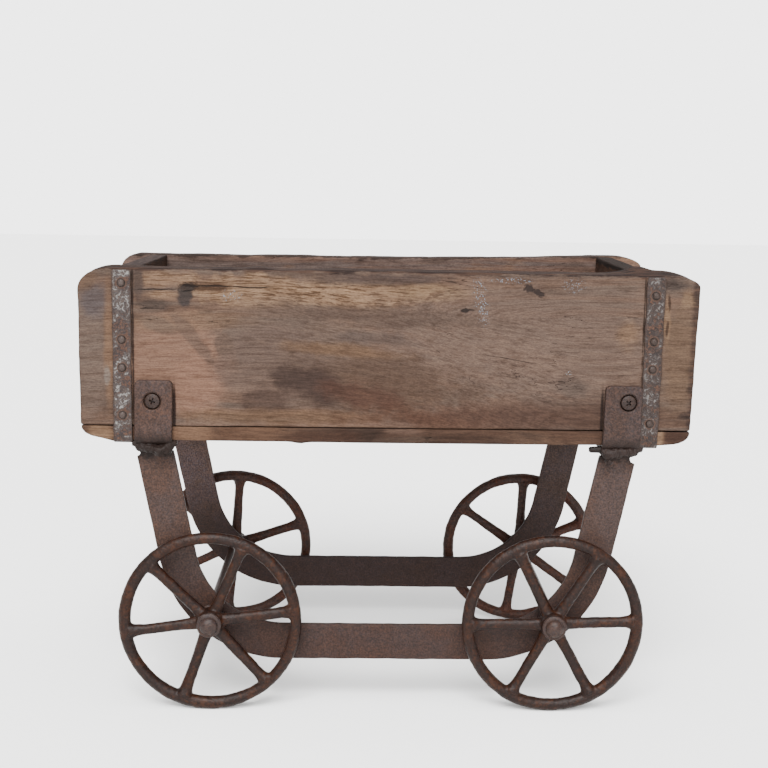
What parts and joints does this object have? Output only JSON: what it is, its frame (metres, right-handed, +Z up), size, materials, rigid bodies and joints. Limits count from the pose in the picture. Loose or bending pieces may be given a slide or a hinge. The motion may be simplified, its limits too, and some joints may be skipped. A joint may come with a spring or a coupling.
{
  "type": "weathered wooden planter cart",
  "caption": "Long open wooden mould box with iron straps, carried on bent flat-bar rails over two axles with spoked cast wheels.",
  "frame": {"origin": "on the floor under the middle of the cart, at the centre of its overall box", "axes": "+X along the box towards its right end, +Y from the front side shown in the picture to the back, +Z up; the axles lie along Y"},
  "size_m": [0.328, 0.1764, 0.242],
  "materials": {
    "wood": "weathered bare softwood with cracks and tan patches",
    "hoop_iron": "dull grey thin strip with pale and rusty mottling",
    "bar_iron": "brown rusted flat and round bar",
    "cast_iron": "dark brown rusted casting"
  },
  "bodies": {
    "cart": {"floor_board": "wood", "front_plank": "wood", "back_plank": "wood", "left_end_board": "wood", "right_end_board": "wood", "left_strap": "hoop_iron", "right_strap": "hoop_iron", "left_saddle": "bar_iron", "right_saddle": "bar_iron", "front_left_screw": "bar_iron", "front_right_screw": "bar_iron", "back_left_screw": "bar_iron", "back_right_screw": "bar_iron", "front_rail": "bar_iron", "back_rail": "bar_iron", "left_axle": "bar_iron", "right_axle": "bar_iron", "front_left_outer_washer": "bar_iron", "front_left_inner_washer": "bar_iron", "front_right_outer_washer": "bar_iron", "front_right_inner_washer": "bar_iron", "back_left_outer_washer": "bar_iron", "back_left_inner_washer": "bar_iron", "back_right_outer_washer": "bar_iron", "back_right_inner_washer": "bar_iron"},
    "front_left_roller": {"front_left_wheel": "cast_iron"},
    "front_right_roller": {"front_right_wheel": "cast_iron"},
    "back_left_roller": {"back_left_wheel": "cast_iron"},
    "back_right_roller": {"back_right_wheel": "cast_iron"}
  },
  "joints": [
    {"name": "front_left_spin", "type": "hinge", "parent": "cart", "child": "front_left_roller", "pos_m": [-0.0938, -0.0765, 0.05], "axis": [0, 1, 0], "continuous": true},
    {"name": "front_right_spin", "type": "hinge", "parent": "cart", "child": "front_right_roller", "pos_m": [0.0938, -0.0765, 0.05], "axis": [0, 1, 0], "continuous": true},
    {"name": "back_left_spin", "type": "hinge", "parent": "cart", "child": "back_left_roller", "pos_m": [-0.0938, 0.0765, 0.05], "axis": [0, 1, 0], "continuous": true},
    {"name": "back_right_spin", "type": "hinge", "parent": "cart", "child": "back_right_roller", "pos_m": [0.0938, 0.0765, 0.05], "axis": [0, 1, 0], "continuous": true}
  ]
}
